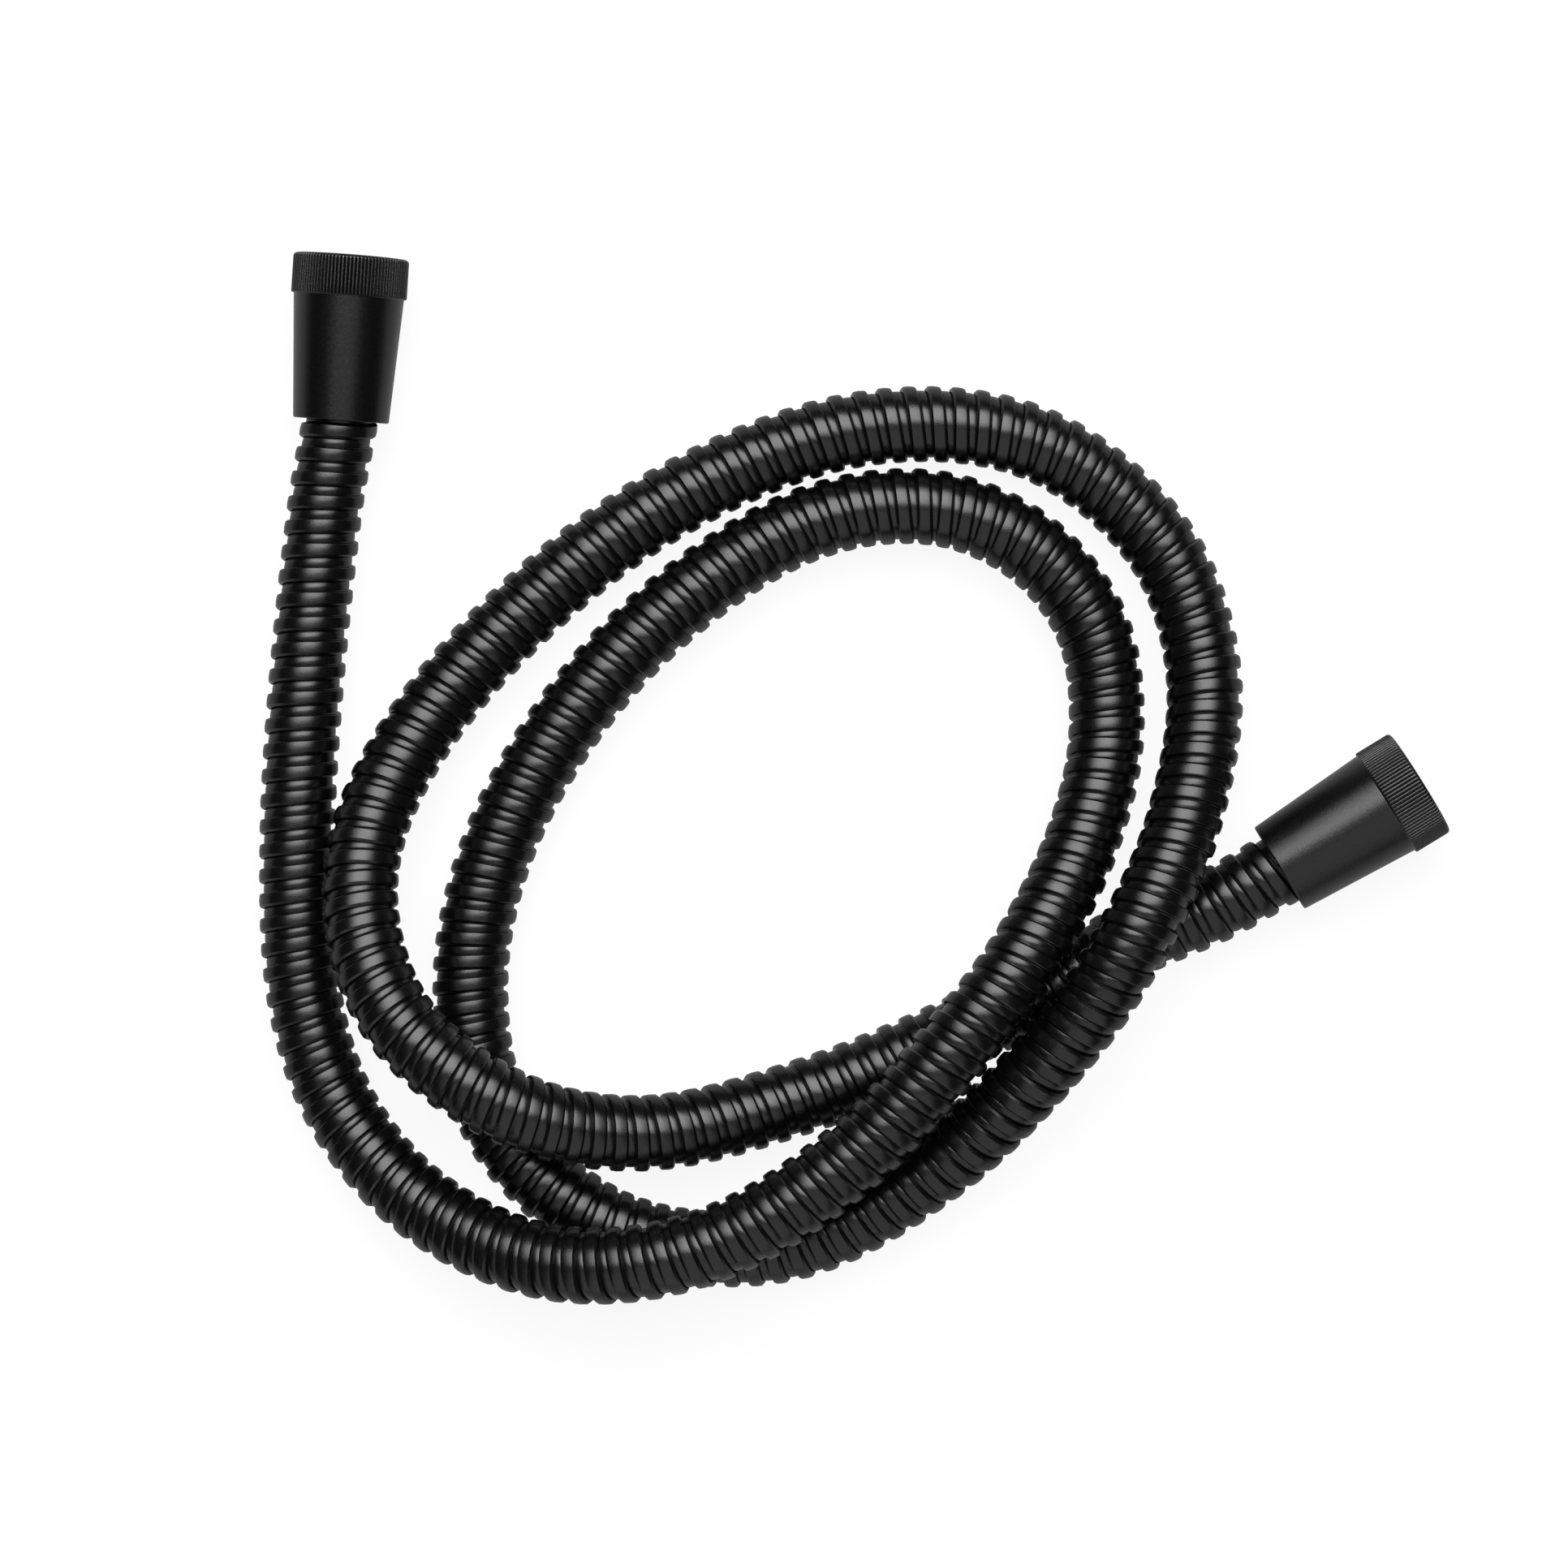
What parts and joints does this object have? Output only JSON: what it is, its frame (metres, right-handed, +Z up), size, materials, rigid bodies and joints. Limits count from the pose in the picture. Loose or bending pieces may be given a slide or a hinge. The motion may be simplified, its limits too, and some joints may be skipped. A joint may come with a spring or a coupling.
{
  "type": "shower hose",
  "caption": "Strip-wound metal shower hose lying in a loose loop, with a knurled conical swivel nut on each end.",
  "frame": {"origin": "on the table, under the middle of the whole hose as it lies", "axes": "+Z up from the table, +X to the right of the picture, along the longest side of the laid hose, +Y to the top of the picture"},
  "size_m": [0.2642, 0.2318, 0.0355],
  "materials": {
    "black_hose": "satin",
    "black_nut": "matte",
    "tube": "matte",
    "tail": "turned",
    "ferrule": "satin",
    "washer": "matte"
  },
  "bodies": {
    "hose": {"metal_hose": "black_hose", "inner_tube": "tube", "hose_tail_a": "tail", "hose_tail_b": "tail", "hose_ferrule_a": "ferrule", "hose_ferrule_b": "ferrule"},
    "nut_a": {"conical_nut_a": "black_nut", "sealing_washer_a": "washer"},
    "nut_b": {"conical_nut_b": "black_nut", "sealing_washer_b": "washer"}
  },
  "joints": [
    {"name": "nut_a_spin", "type": "hinge", "parent": "hose", "child": "nut_a", "pos_m": [-0.11109, 0.1146, 0.01345], "axis": [0.073, 0.9942, 0.0795], "continuous": true},
    {"name": "nut_b_spin", "type": "hinge", "parent": "hose", "child": "nut_b", "pos_m": [0.12571, -0.002, 0.01345], "axis": [0.8472, 0.5253, 0.0795], "continuous": true}
  ]
}
